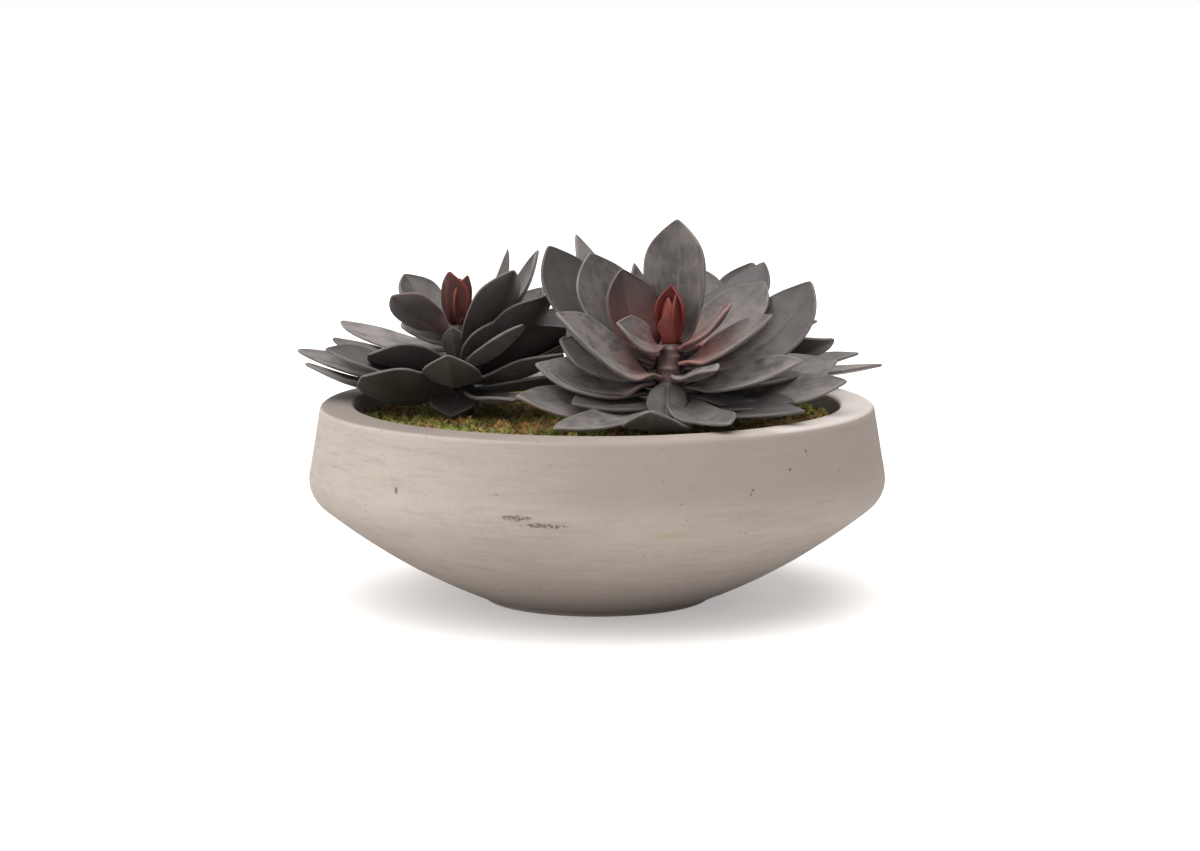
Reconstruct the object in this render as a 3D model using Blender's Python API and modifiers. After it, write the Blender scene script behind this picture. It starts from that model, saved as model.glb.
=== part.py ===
"""Low concrete bowl planted with three rosettes of a dark echeveria.

Metres, +Z up. The origin is the centre of the bowl's flat foot, on the surface it stands on.
+X is to the right and -Y is the front, the side from which the left and right rosettes show best.

The bowl is a turned shell. Potting soil fills it, a mat of moss covers the soil, and each rosette is a
short stem set in the soil, with a closed bud on top and single leaves all round it.
"""

import math

import bmesh
import bpy
from mathutils import Matrix, Vector

MM = 0.001
GAP = 0.3 * MM  # clearance between pieces that touch

# Bowl: outer outline
BOWL_HEIGHT = 0.138
BELLY_RADIUS = 0.2022
BELLY_HEIGHT = 0.086
BELLY_ROUND = 0.022
WALL_LEAN = math.radians(8.6)  # the upper wall leans inwards to the rim
BELLY_TURN = math.radians(51.0)  # how far the belly's round turns under
FOOT_RADIUS = 0.080
FOOT_EDGE = 1.8 * MM  # the foot stands up straight this far
RIM_OUTER_ROUND = 0.005

# Bowl: inside
MOUTH_RADIUS = 0.170
RIM_INNER_ROUND = 0.003
INNER_BELLY = (0.175, 0.086)
INNER_FLOOR = (0.072, 0.020)

# Filling
SOIL_TOP = 0.117
MOSS_EDGE_TOP = 0.127
MOSS_CROWN_TOP = 0.130
MOSS_EDGE_ROUND = 0.008

TURNED_STEPS = 60
STEM_STEPS = 14

# Stems
SHOULDER_SHARE = 0.80  # a stem is straight up to here and narrows above it
TOP_RADIUS_SHARE = 0.60

# Closed buds on the stems' tops: stem, height, radius
BUDS = {
    "right": (38.0 * MM, 8.5 * MM),
    "left": (35.0 * MM, 9.0 * MM),
}
BUD_ROWS = 7
BUD_FULLEST_AT = 0.42  # share of a bud's height
BUD_FOOT_SHARE = 0.45  # foot radius over largest radius


class Stem:
    """The straight stem of one rosette, from its planted end to its top."""

    def __init__(self, name, foot, top, radius):
        self.name = name
        self.foot = Vector(foot)
        self.top = Vector(top)
        self.radius = radius

    def axis(self):
        return (self.top - self.foot).normalized()

    def at_height(self, height):
        """The point of the stem's centre line at this height above the table."""
        return self.foot + (self.top - self.foot) * self.share(height)

    def share(self, height):
        """How far up the stem this height lies, from 0 at its foot to 1 at its top."""
        return (height - self.foot.z) / (self.top.z - self.foot.z)

    def radius_at(self, height):
        """The stem is straight up to its shoulder and narrows evenly above it."""
        narrowing = max(self.share(height) - SHOULDER_SHARE, 0.0) / (1.0 - SHOULDER_SHARE)
        return self.radius * (1.0 + (TOP_RADIUS_SHARE - 1.0) * narrowing)


STEMS = {
    "left": Stem("left", (-0.090, 0.030, 0.080), (-0.099, 0.028, 0.190), 8.0 * MM),
    "right": Stem("right", (0.047, -0.048, 0.080), (0.050, -0.046, 0.184), 9.5 * MM),
    "back": Stem("back", (0.082, 0.088, 0.080), (0.086, 0.094, 0.182), 8.5 * MM),
}

# Leaves. Azimuth is counter-clockwise seen from above, 0 to the right (+X) and 270 to the front (-Y).
# Rise is the leaf's angle above the horizontal at its middle, curl how far it turns upwards from base to tip,
# roll how far its blade is turned about its midrib, cup how far its edges stand up, in hundredths of its
# half-width. Angles are in degrees, lengths in millimetres.
# (name, azimuth, rise, curl, length, width, roll, cup, height on the stem)
LEAVES = {
    "right": [
        ("leaf_right_01", 68, 91, 10, 89, 46, 0, 25, 184),
        ("leaf_right_02", 214, 27, 35, 43, 30, -45, 30, 182),
        ("leaf_right_03", 333, 41, 45, 53, 20, 25, 30, 181),
        ("leaf_right_04", 31, 32, 45, 85, 42, 18, 20, 180),
        ("leaf_right_05", 58, 24, 40, 139, 40, 5, 20, 176),
        ("leaf_right_06", 163, 70, 40, 69, 42, -40, 30, 174),
        ("leaf_right_07", 156, 58, 40, 93, 46, -30, 25, 170),
        ("leaf_right_08", 335, 29, 40, 78, 30, 22, 30, 171),
        ("leaf_right_09", 154, 45, 50, 120, 46, -26, 25, 167),
        ("leaf_right_10", 12, 33, 78, 116, 52, 24, 20, 168),
        ("leaf_right_11", 296, 11, 25, 60, 26, 20, 30, 162),
        ("leaf_right_12", 122, 40, 25, 145, 26, 0, 20, 161),
        ("leaf_right_13", 31, 1, 25, 132, 42, 14, 15, 162),
        ("leaf_right_14", 214, 31, 40, 98, 40, -38, 25, 162),
        ("leaf_right_15", 188, 10, 50, 86, 44, -29, 20, 158),
        ("leaf_right_16", 330, 15, 25, 96, 28, 22, 30, 154),
        ("leaf_right_17", 263, 6, 62, 116, 45, 0, 5, 144),
        ("leaf_right_18", 352, 6, 25, 114, 40, 15, 15, 149),
        ("leaf_right_19", 199, 5, 25, 101, 42, -20, 15, 144),
        ("leaf_right_20", 318, 6, 16, 110, 36, 9, 15, 138),
        ("leaf_right_21", 235, -3, 16, 125, 38, -12, 15, 149),
        ("leaf_right_22", 287, -3, 20, 118, 40, 9, 15, 152),
    ],
    "left": [
        ("leaf_left_01", 140, 40, 35, 60, 34, -15, 30, 185),
        ("leaf_left_02", 205, 34, 30, 53, 34, 35, 30, 183),
        ("leaf_left_03", 42, 60, 20, 76, 12, 0, 20, 179),
        ("leaf_left_04", 320, 54, 35, 69, 44, 0, 30, 178),
        ("leaf_left_05", 160, 22, 20, 40, 28, 0, 30, 174),
        ("leaf_left_06", 15, 55, 50, 87, 32, 0, 30, 174),
        ("leaf_left_07", 327, 33, 40, 80, 36, -15, 30, 172),
        ("leaf_left_08", 140, 7, 30, 112, 34, -5, 15, 171),
        ("leaf_left_09", 35, 39, 30, 80, 40, 10, 30, 163),
        ("leaf_left_10", 208, 9, 30, 65, 36, 15, 25, 162),
        ("leaf_left_11", 300, 24, 30, 92, 26, 10, 40, 161),
        ("leaf_left_12", 350, 28, 35, 76, 46, -31, 25, 154),
        ("leaf_left_13", 264, 20, 95, 70, 38, 0, 20, 154),
        ("leaf_left_14", 166, 15, 30, 92, 38, -5, 15, 154),
        ("leaf_left_15", 197, 16, 30, 95, 44, 15, 20, 150),
        ("leaf_left_16", 325, 18, 35, 85, 36, -8, 25, 149),
        ("leaf_left_17", 172, 12, 25, 115, 38, -8, 15, 146),
        ("leaf_left_18", 300, 2, 25, 70, 32, 0, 25, 142),
        ("leaf_left_19", 188, 13, 35, 108, 38, 0, 15, 140),
        ("leaf_left_20", 222, 14, 30, 87, 42, 28, 20, 136),
    ],
    "back": [
        ("leaf_back_01", 105, 50, 30, 60, 34, 0, 20, 177),
        ("leaf_back_02", 60, 47, 30, 76, 40, 0, 30, 170),
        ("leaf_back_03", 345, 16, 30, 72, 38, 5, 20, 168),
        ("leaf_back_04", 110, 30, 30, 80, 42, 0, 30, 166),
        ("leaf_back_05", 328, 11, 40, 93, 42, -25, 20, 161),
        ("leaf_back_06", 160, 20, 30, 80, 42, 0, 30, 160),
        ("leaf_back_07", 200, 10, 30, 70, 40, 0, 30, 152),
        ("leaf_back_08", 352, 8, 25, 99, 36, 5, 15, 150),
        ("leaf_back_09", 130, 10, 30, 85, 42, 0, 30, 148),
        ("leaf_back_10", 14, 2, 15, 122, 36, 0, 15, 145),
    ],
}

# A leaf's shape
LEAF_THICKNESS = 3.0 * MM
LEAF_EDGE_SHARE = 0.45  # edge thickness over middle thickness
LEAF_ROWS = 7
LEAF_COLUMNS = 4
WIDEST_AT = 0.56
NECK_SHARE = 0.26  # width of the neck over the widest width
TIP_SHARE = 0.045
CLASP_SHARE = 0.16  # first part of a leaf, which bends from the stem into the leaf's own rise
CLASP_RISE = math.radians(20.0)
ROLL_SHARE = 0.30  # the part of a leaf in which the roll comes in
MIDRIB_STEPS = 48


def smooth(share):
    share = min(max(share, 0.0), 1.0)
    return share * share * (3.0 - 2.0 * share)


def outline(u):
    """Half-width of a leaf at this share of its length, over its largest half-width."""
    if u < WIDEST_AT:
        swell = math.sin(0.5 * math.pi * u / WIDEST_AT) ** 0.9
        return NECK_SHARE + (1.0 - NECK_SHARE) * swell
    taper = math.cos(0.5 * math.pi * ((u - WIDEST_AT) / (1.0 - WIDEST_AT)) ** 1.35)
    return TIP_SHARE + (1.0 - TIP_SHARE) * taper


def midrib(rise, curl, length):
    """Points and slopes along a leaf's midrib, in the leaf's own upright plane."""
    x = z = 0.0
    line = []
    for step in range(MIDRIB_STEPS + 1):
        u = step / MIDRIB_STEPS
        free = rise + curl * (u - 0.5)
        start = min(free, CLASP_RISE)
        slope = start + (free - start) * smooth(u / CLASP_SHARE)
        line.append((x, z, slope))
        x += math.cos(slope) * length / MIDRIB_STEPS
        z += math.sin(slope) * length / MIDRIB_STEPS
    return line


def leaf_point(line, u, v, width, roll, cup):
    """A point of the leaf's middle surface: u from base to tip, v from -1 to 1 across."""
    place = u * MIDRIB_STEPS
    step = min(int(place), MIDRIB_STEPS - 1)
    part = place - step
    x, z, slope = (a + (b - a) * part for a, b in zip(line[step], line[step + 1]))
    along = Vector((math.cos(slope), 0.0, math.sin(slope)))
    up = Vector((-math.sin(slope), 0.0, math.cos(slope)))
    turn = Matrix.Rotation(roll * smooth(u / ROLL_SHARE), 3, along)
    side = turn @ Vector((0.0, 1.0, 0.0))
    up = turn @ up
    half = 0.5 * width * outline(u)
    rim_lift = cup * half * (abs(v) ** 1.7) * smooth(u / CLASP_SHARE)
    return Vector((x, 0.0, z)) + side * (half * v) + up * rim_lift


def collection(name):
    made = bpy.data.collections.new(name)
    bpy.context.scene.collection.children.link(made)
    return made


def material(name, colour, roughness):
    made = bpy.data.materials.new(name)
    made.use_nodes = True
    shader = made.node_tree.nodes["Principled BSDF"]
    shader.inputs["Base Color"].default_value = (*colour, 1.0)
    shader.inputs["Roughness"].default_value = roughness
    shader.inputs["Metallic"].default_value = 0.0
    return made


def arc(centre, radius, start, end, steps):
    """Points of an arc in the X-Z plane, from one angle to another, both included."""
    turns = [start + (end - start) * i / steps for i in range(steps + 1)]
    return [(centre[0] + radius * math.cos(a), centre[1] + radius * math.sin(a)) for a in turns]


def turned(name, profile, steps, home, look):
    """A solid turned about its own Z axis from a profile that runs down its outer side."""
    mesh = bpy.data.meshes.new(name)
    points = [(x, 0.0, z) for x, z in profile]
    mesh.from_pydata(points, [(i, i + 1) for i in range(len(points) - 1)], [])
    made = bpy.data.objects.new(name, mesh)
    home.objects.link(made)
    screw = made.modifiers.new("turn", "SCREW")
    screw.steps = steps
    screw.render_steps = steps
    screw.use_merge_vertices = True
    screw.merge_threshold = 0.00005
    screw.use_smooth_shade = True
    mesh.materials.append(look)
    return made


def bowl_outer():
    """The bowl's outer side, from the outer edge of the rim down to the foot's edge."""
    belly = (BELLY_RADIUS - BELLY_ROUND, BELLY_HEIGHT)
    round_of_belly = arc(belly, BELLY_ROUND, WALL_LEAN, -BELLY_TURN, 4)
    wall_top_x = round_of_belly[0][0] - (BOWL_HEIGHT - round_of_belly[0][1]) * math.tan(WALL_LEAN)
    rim = (wall_top_x - RIM_OUTER_ROUND, BOWL_HEIGHT - RIM_OUTER_ROUND)
    rim_edge = arc(rim, RIM_OUTER_ROUND, math.radians(90.0), WALL_LEAN, 3)
    # The underside is one arc, which leaves the belly's round in line and ends at the foot's edge.
    x0, z0 = round_of_belly[-1]
    chord = math.hypot(x0 - FOOT_RADIUS, z0 - FOOT_EDGE)
    chord_normal = math.atan2(x0 - FOOT_RADIUS, z0 - FOOT_EDGE)
    half_turn = chord_normal - BELLY_TURN
    radius = 0.5 * chord / math.sin(half_turn)
    centre = (x0 - radius * math.cos(BELLY_TURN), z0 + radius * math.sin(BELLY_TURN))
    underside = arc(centre, radius, -BELLY_TURN, -BELLY_TURN - 2.0 * half_turn, 5)
    return rim_edge + round_of_belly + underside[1:] + [(FOOT_RADIUS, 0.0)]


def cavity(inset):
    """The bowl's inside from the floor's centre up to the mouth, moved inwards by inset."""
    return [
        (0.0, INNER_FLOOR[1] + inset),
        (INNER_FLOOR[0] - inset, INNER_FLOOR[1] + inset),
        (INNER_BELLY[0] - inset, INNER_BELLY[1]),
    ]


def make_bowl(home, look):
    rim = (MOUTH_RADIUS + RIM_INNER_ROUND, BOWL_HEIGHT - RIM_INNER_ROUND)
    inner_edge = arc(rim, RIM_INNER_ROUND, math.radians(180.0), math.radians(90.0), 2)
    return turned("bowl", cavity(0.0) + inner_edge + bowl_outer() + [(0.0, 0.0)], TURNED_STEPS, home, look)


def inner_wall_radius(height):
    """Radius of the bowl's inside at a height above its belly."""
    share = (height - INNER_BELLY[1]) / (BOWL_HEIGHT - RIM_INNER_ROUND - INNER_BELLY[1])
    return INNER_BELLY[0] + (MOUTH_RADIUS - INNER_BELLY[0]) * share


def make_soil(home, look):
    floor, corner, belly = cavity(GAP)
    top_edge = (inner_wall_radius(SOIL_TOP) - GAP, SOIL_TOP)
    return turned("potting_soil", [(0.0, SOIL_TOP), top_edge, belly, corner, floor], TURNED_STEPS, home, look)


def make_moss(home, look):
    underside = SOIL_TOP + GAP
    edge = inner_wall_radius(MOSS_EDGE_TOP) - GAP
    crown = [(0.0, MOSS_CROWN_TOP), (0.5 * edge, MOSS_CROWN_TOP - 1.0 * MM)]
    centre = (edge - MOSS_EDGE_ROUND, MOSS_EDGE_TOP - MOSS_EDGE_ROUND)
    shoulder = arc(centre, MOSS_EDGE_ROUND, math.radians(90.0), 0.0, 4)
    return turned("moss_mat", crown + shoulder + [(edge, underside), (0.0, underside)], TURNED_STEPS, home, look)


def stand_along(thing, stem):
    """Puts a turned thing's own Z axis on the stem, with its origin at the stem's foot."""
    thing.location = stem.foot
    thing.rotation_mode = "QUATERNION"
    thing.rotation_quaternion = stem.axis().to_track_quat("Z", "Y")


def make_stem(stem, home, look):
    length = (stem.top - stem.foot).length
    profile = [
        (0.0, length),
        (TOP_RADIUS_SHARE * stem.radius, length),
        (stem.radius, SHOULDER_SHARE * length),
        (stem.radius, 0.0),
        (0.0, 0.0),
    ]
    made = turned("stem_" + stem.name, profile, STEM_STEPS, home, look)
    stand_along(made, stem)
    return made


def make_bud(stem, height, radius, home, look):
    """A closed bud: a spindle with a pointed tip, standing on the stem's top."""
    profile = [(0.0, height)]
    for row in range(1, BUD_ROWS):
        share = 1.0 - row / BUD_ROWS
        if share > BUD_FULLEST_AT:
            fullness = math.cos(0.5 * math.pi * (share - BUD_FULLEST_AT) / (1.0 - BUD_FULLEST_AT))
        else:
            swell = math.sin(0.5 * math.pi * share / BUD_FULLEST_AT)
            fullness = BUD_FOOT_SHARE + (1.0 - BUD_FOOT_SHARE) * swell
        profile.append((radius * fullness, share * height))
    profile += [(BUD_FOOT_SHARE * radius, 0.0), (0.0, 0.0)]
    made = turned("bud_" + stem.name, profile, STEM_STEPS, home, look)
    stand_along(made, stem)
    made.location = stem.top + stem.axis() * GAP
    return made


def cut_socket(target, stem, cutters):
    """Cuts the hole that the stem stands in, open at the top."""
    depth = (stem.top - stem.foot).length + GAP
    hole = turned(
        "cutter_" + target.name + "_" + stem.name,
        [(0.0, depth), (stem.radius + GAP, depth), (stem.radius + GAP, -GAP), (0.0, -GAP)],
        STEM_STEPS,
        cutters,
        target.data.materials[0],
    )
    stand_along(hole, stem)
    hole.hide_render = True
    hole.display_type = "WIRE"
    cut = target.modifiers.new("socket_" + stem.name, "BOOLEAN")
    cut.operation = "DIFFERENCE"
    cut.object = hole


def make_leaf(stem, leaf, home, look):
    """One leaf: a grid bent and spread to the leaf's shape, made thick with thinner edges."""
    name, azimuth, rise, curl, length, width, roll, cup, height = leaf
    rise, curl, roll = (math.radians(angle) for angle in (rise, curl, roll))
    length, width, cup = length * MM, width * MM, 0.01 * cup
    line = midrib(rise, curl, length)
    cage = bmesh.new()
    bmesh.ops.create_grid(cage, x_segments=LEAF_ROWS, y_segments=LEAF_COLUMNS, size=0.5)
    mesh = bpy.data.meshes.new(name)
    weights = []
    for corner in cage.verts:
        u, v = corner.co.x + 0.5, 2.0 * corner.co.y
        corner.co = leaf_point(line, u, v, width, roll, cup)
        weights.append((1.0 - v * v) * (1.0 - smooth((u - 0.7) / 0.3)))
    cage.to_mesh(mesh)
    cage.free()
    mesh.materials.append(look)
    mesh.shade_smooth()
    made = bpy.data.objects.new(name, mesh)
    home.objects.link(made)
    thickness = made.vertex_groups.new(name="thickness")
    for index, weight in enumerate(weights):
        thickness.add([index], weight, "REPLACE")
    shell = made.modifiers.new("thickness", "SOLIDIFY")
    shell.thickness = LEAF_THICKNESS
    shell.offset = 0.0
    shell.vertex_group = thickness.name
    shell.thickness_vertex_group = LEAF_EDGE_SHARE
    turn = Matrix.Rotation(math.radians(azimuth), 3, "Z")
    start = min(rise - 0.5 * curl, CLASP_RISE)
    clear = stem.radius_at(height * MM) + GAP + 0.5 * LEAF_THICKNESS * math.sin(abs(start))
    made.location = stem.at_height(height * MM) + turn @ Vector((clear, 0.0, 0.0))
    made.rotation_euler = (0.0, 0.0, math.radians(azimuth))
    return made


def build():
    for old in list(bpy.data.objects):
        bpy.data.objects.remove(old)
    home = collection("potted_echeveria")
    cutters = collection("cutters")
    concrete = material("concrete", (0.42, 0.39, 0.35), 0.85)
    earth = material("potting_soil", (0.06, 0.045, 0.03), 0.95)
    moss_green = material("moss", (0.13, 0.15, 0.03), 0.95)
    stem_brown = material("stem", (0.14, 0.07, 0.06), 0.6)
    leaf_grey = material("leaf", (0.09, 0.085, 0.083), 0.6)
    bud_red = material("bud", (0.30, 0.055, 0.05), 0.5)
    make_bowl(home, concrete)
    soil = make_soil(home, earth)
    moss = make_moss(home, moss_green)
    for stem in STEMS.values():
        cut_socket(soil, stem, cutters)
        cut_socket(moss, stem, cutters)
        make_stem(stem, home, stem_brown)
        if stem.name in BUDS:
            make_bud(stem, *BUDS[stem.name], home, bud_red)
        for leaf in LEAVES[stem.name]:
            make_leaf(stem, leaf, home, leaf_grey)


build()
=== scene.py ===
"""Looks of a low concrete bowl planted with three rosettes of a dark echeveria.

The file is laid out as an add-on. Its property groups hold the sizes and colours that a user would change,
one operator makes each piece or group of like pieces, and the panel lists them. Lengths are in metres, +Z is
up and -Y is the front. Every piece stands where the packed frame has its node.
"""

import math
import random
from collections import namedtuple

import bpy
import numpy as np
from bpy.props import FloatProperty, FloatVectorProperty, IntProperty, PointerProperty
from mathutils import Matrix, Vector, noise


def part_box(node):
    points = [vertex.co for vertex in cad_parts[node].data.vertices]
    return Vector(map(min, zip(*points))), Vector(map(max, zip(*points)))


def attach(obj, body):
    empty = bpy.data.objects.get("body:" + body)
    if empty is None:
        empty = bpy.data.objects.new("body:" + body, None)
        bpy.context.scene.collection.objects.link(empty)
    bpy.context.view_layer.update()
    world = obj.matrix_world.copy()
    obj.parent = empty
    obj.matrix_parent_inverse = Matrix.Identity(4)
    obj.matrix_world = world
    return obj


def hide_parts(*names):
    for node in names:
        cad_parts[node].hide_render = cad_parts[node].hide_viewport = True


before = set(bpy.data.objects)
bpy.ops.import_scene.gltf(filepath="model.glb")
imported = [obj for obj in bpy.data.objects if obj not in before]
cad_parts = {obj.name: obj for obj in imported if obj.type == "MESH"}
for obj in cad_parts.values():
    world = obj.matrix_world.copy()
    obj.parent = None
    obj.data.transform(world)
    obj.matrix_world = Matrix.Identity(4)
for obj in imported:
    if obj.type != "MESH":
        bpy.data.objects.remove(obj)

bl_info = {
    "name": "Potted echeveria",
    "version": (1, 0, 0),
    "blender": (4, 5, 0),
    "location": "View3D > Sidebar > Echeveria",
    "description": "Makes the visible pieces of a potted echeveria round its packed frame",
    "category": "Object",
}

MM = 0.001
FULL_TURN = 2.0 * math.pi
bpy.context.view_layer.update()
BOWL_RADIUS, _, BOWL_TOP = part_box("bowl")[1]
SOIL_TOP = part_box("potting_soil")[1].z
MOSS_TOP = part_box("moss_mat")[1].z
MOSS_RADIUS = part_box("moss_mat")[1].x
GAP = 0.3 * MM
MOST_DRIFT = 8.0 * MM

# Bowl section
BELLY_HEIGHT = 0.086
BELLY_ROUND = 0.022
WALL_LEAN = math.radians(8.6)
BELLY_TURN = math.radians(51.0)
FOOT_RADIUS = 0.080
FOOT_EDGE = 0.0018
FOOT_WEAR = ((FOOT_RADIUS - 0.0005, 0.0004), (FOOT_RADIUS - 0.0012, 0.0))
RIM_OUTER_ROUND = 0.005
MOUTH_RADIUS = 0.170
RIM_INNER_ROUND = 0.003
INNER_BELLY = (0.175, 0.086)
INNER_FLOOR = (0.072, 0.020)
BOWL_SEGMENTS = 384
TRUE_FOOT = 6.0 * MM

# Stems
Stem = namedtuple("Stem", "foot top radius")
STEMS = {
    "left": Stem(Vector((-0.090, 0.030, 0.080)), Vector((-0.099, 0.028, 0.190)), 8.0 * MM),
    "right": Stem(Vector((0.047, -0.048, 0.080)), Vector((0.050, -0.046, 0.184)), 9.5 * MM),
    "back": Stem(Vector((0.082, 0.088, 0.080)), Vector((0.086, 0.094, 0.182)), 8.5 * MM),
}
SHOULDER_SHARE = 0.80
TOP_RADIUS_SHARE = 0.60
STEM_SEGMENTS = 48
STEM_ROWS = 90
SCARS = 26
SCAR_HEIGHT = 0.012
SCAR_ARC = 0.75
SCAR_RELIEF = 0.17
BARK_RELIEF = 0.05

# A leaf's azimuth, rise, curl and roll are in degrees, its length, width and the height of its neck on the
# stem in millimetres. The rest is in hundredths: its cup (of the half-width), how much pale powder lies on
# it, how sharply it folds at the midrib, how blunt its tip is, how red its neck is and how far up that
# reaches, and how red its rim is. Values left out at the end of a row are the usual ones. The powder also
# paints shade: leaves deep in a rosette or in its gaps have little of it, so that they look shaded.
COLUMNS = "azimuth rise curl length width roll cup height powder fold blunt blush reach rim_blush"
Leaf = namedtuple("Leaf", COLUMNS, defaults=(40, 20, 5, 20, 0))

# The leaves that have a node in the frame, numbered from the top of their stem down
LEAVES = {
    "right": (
        (68, 91, 10, 89, 46, 0, 25, 184, 50, 60, 30, 20, 30),
        (214, 27, 35, 43, 30, -45, 30, 182, 45, 80, 10, 50, 90, 10),
        (333, 41, 45, 53, 20, 25, 30, 181, 55, 40, 0, 80, 60, 60),
        (31, 32, 45, 85, 42, 26, 20, 180, 64, 40, 30, 80, 60),
        (58, 24, 40, 139, 40, 5, 20, 176, 2, 30, 60, 35, 40),
        (163, 70, 40, 69, 42, -40, 30, 174, 0, 30, 20, 85, 110, 10),
        (156, 58, 40, 93, 48, -35, 25, 170, 44, 30, 40, 25, 35),
        (335, 29, 40, 78, 34, 31, 30, 171, 60, 50, 20, 85, 80, 10),
        (154, 45, 50, 120, 48, -30, 25, 167, 8, 80, 60, 10, 25),
        (12, 33, 78, 116, 52, 32, 20, 168, 28, 50, 60, 45, 45),
        (296, 11, 25, 60, 26, 14, 30, 162, 100, 30, 40, 15, 25),
        (122, 40, 25, 145, 26, 0, 20, 161, 60, 60, 0),
        (31, 1, 25, 132, 45, 23, 15, 162, 60, 40, 0, 15),
        (214, 31, 40, 98, 43, -42, 32, 162, 84, 80, 20, 80, 50),
        (188, 10, 50, 86, 44, -29, 25, 158, 70, 80, 10, 35, 50),
        (330, 15, 25, 96, 32, 29, 30, 154, 70, 50, 0, 20, 30),
        (263, 4, 64, 116, 45, 0, 5, 147, 65, 60, 20, 15, 30),
        (352, 6, 25, 114, 44, 23, 15, 149, 60, 40, 10, 15, 25),
        (199, 5, 25, 101, 42, -24, 15, 144, 55, 60, 10, 40, 60, 20),
        (318, 4, 16, 110, 31, 12, 15, 141, 10, 95, 30, 15, 25),
        (235, -2, 16, 125, 31, -11, 15, 145, 60, 90, 20, 20, 30),
        (287, -1, 20, 118, 33, 10, 15, 148, 30, 70, 20, 10, 25),
    ),
    "left": (
        (140, 40, 35, 60, 34, -15, 30, 185, 32, 30, 30, 25, 40),
        (205, 34, 30, 53, 34, 35, 30, 183, 20, 30, 40, 25, 60, 20),
        (42, 60, 45, 76, 11, 0, 20, 179, 40, 50, 0, 0),
        (320, 56, 35, 75, 47, 0, 30, 172, 20, 20),
        (160, 22, 20, 40, 34, -12, 30, 174, 55, 30, 20, 10, 30),
        (15, 55, 50, 87, 32, 0, 30, 174, 60, 50, 10),
        (327, 36, 40, 84, 38, -15, 30, 167, 0, 30),
        (140, 7, 30, 112, 34, -5, 15, 171, 100, 40, 10),
        (35, 39, 30, 80, 40, 10, 30, 163, 50, 30, 30),
        (208, 9, 30, 65, 42, 26, 25, 162, 20, 30, 40),
        (300, 24, 30, 92, 26, 10, 40, 161, 60, 60, 10),
        (350, 28, 35, 76, 46, -36, 25, 154, 16, 30),
        (264, 20, 95, 70, 42, 0, 20, 155, 34, 70, 30),
        (166, 15, 30, 92, 38, -5, 15, 154, 40, 40, 10),
        (199, 16, 30, 96, 48, -13, 20, 150, 22, 60),
        (325, 18, 35, 85, 36, -8, 25, 149, 55, 50, 10),
        (172, 12, 25, 115, 38, -8, 15, 146, 70, 40, 10),
        (300, 2, 25, 70, 32, 0, 25, 142, 60),
        (188, 13, 35, 108, 38, 0, 15, 140, 48, 40, 10),
        (222, 15, 30, 87, 47, 30, 20, 138, 28, 30, 50),
    ),
    "back": (
        (105, 50, 30, 60, 34, 0, 20, 177, 45, 30, 20, 20, 40),
        (60, 47, 30, 76, 40, 0, 30, 170, 16, 30, 20, 20, 30),
        (345, 16, 30, 72, 38, 5, 20, 168, 40),
        (110, 30, 30, 80, 42, 0, 30, 166, 50, 40, 30, 10, 30),
        (328, 11, 40, 93, 42, -25, 20, 161, 25, 40, 10),
        (160, 20, 30, 80, 42, 0, 30, 160, 22, 40, 30, 10, 30),
        (200, 10, 30, 70, 40, 0, 30, 152, 16, 40, 20, 10, 30),
        (352, 8, 25, 99, 36, 5, 15, 150, 60, 40, 10),
        (130, 10, 30, 85, 42, 0, 30, 148, 25),
        (14, 2, 15, 122, 36, 0, 15, 145, 65, 40, 0),
    ),
}

# Leaves that fill the rosettes and have no node of their own. Their numbers follow on. Many carry little
# powder and sit in the gaps between leaves, where they paint the shade.
FILLERS = {
    "right": (
        (112, 52, 30, 86, 18, 0, 20, 170, 30, 40, 20, 20, 40),
        (64, 31, 30, 112, 38, 0, 20, 162, 4),
        (176, 24, 30, 72, 40, -30, 20, 158, 14, 40, 20, 10, 25),
        (140, 18, 30, 92, 44, 0, 20, 154, 30),
        (48, 14, 30, 88, 44, 0, 20, 158, 6),
        (338, 4, 20, 82, 40, 12, 20, 143, 12),
        (214, 3, 20, 70, 40, -14, 20, 145, 14, 40, 20, 10, 25),
        (92, 20, 30, 84, 44, 0, 25, 160, 10),
        (5, 6, 20, 84, 42, 10, 20, 154, 16),
        (186, 14, 30, 76, 42, -20, 20, 150, 12),
        (266, -34, 5, 38, 28, 0, 15, 158, 20, 80, 0),
    ),
    "left": (
        (85, 38, 30, 60, 34, 0, 25, 164, 30, 40, 20, 10, 25),
        (62, 22, 30, 82, 38, 0, 25, 156, 35, 40, 20, 10, 25),
        (108, 24, 30, 80, 38, 0, 25, 152, 45, 40, 20, 10, 25),
        (258, 64, 20, 32, 17, 0, 25, 163, 36, 40, 10, 15, 30),
        (262, -32, 10, 38, 36, 0, 15, 149, 0, 40, 10, 0),
        (335, 10, 25, 84, 38, -6, 20, 144, 12),
        (12, 20, 25, 92, 42, 0, 20, 150, 14),
        (120, 8, 25, 96, 40, 0, 20, 144, 45),
        (72, 8, 25, 96, 40, 0, 20, 142, 40),
        (318, 48, 35, 56, 50, 0, 20, 158, 5),
        (20, 24, 30, 98, 48, 30, 20, 158, 12),
        (6, 24, 30, 98, 44, 0, 20, 150, 8),
    ),
    "back": (
        (60, 15, 30, 85, 42, 0, 30, 152, 55),
        (260, 24, 30, 60, 40, 0, 20, 156, 14),
        (90, 8, 25, 92, 42, 0, 20, 143, 55),
        (35, 30, 30, 80, 40, 0, 25, 162, 45),
    ),
}

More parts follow.
